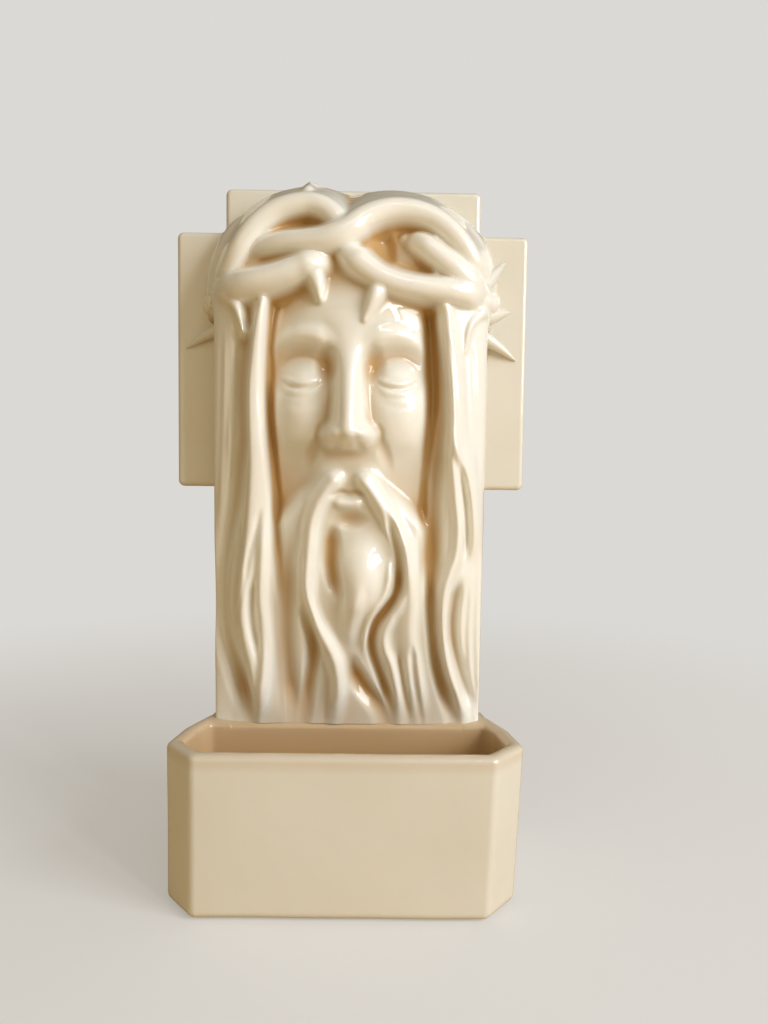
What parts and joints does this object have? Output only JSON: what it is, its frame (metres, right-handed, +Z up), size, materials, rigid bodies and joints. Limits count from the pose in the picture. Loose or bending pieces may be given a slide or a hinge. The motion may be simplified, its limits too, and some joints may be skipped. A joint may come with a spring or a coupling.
{
  "type": "holy water stoup",
  "caption": "Wall-hung glazed earthenware holy water stoup: cross-shaped back, relief head with plaited thorn crown, long hair and beard, open trough at the foot.",
  "frame": {"origin": "mouth of the hanging hole, on its axis, in the flat back face that lies against the wall", "axes": "+Z up, +X to the viewer's right, +Y into the wall, so the face looks along -Y"},
  "size_m": [0.115, 0.053, 0.22],
  "materials": {
    "glaze": "cream transparent glaze over pale earthenware, glossy"
  },
  "bodies": {
    "root": {"back_cross": "glaze", "basin": "glaze", "face": "glaze", "skull": "glaze", "hair_left": "glaze", "hair_right": "glaze", "beard": "glaze", "crown_stem_over": "glaze", "crown_stem_under": "glaze", "crown_stem_brow": "glaze", "crown_stem_right": "glaze", "thorns": "glaze"}
  },
  "joints": []
}
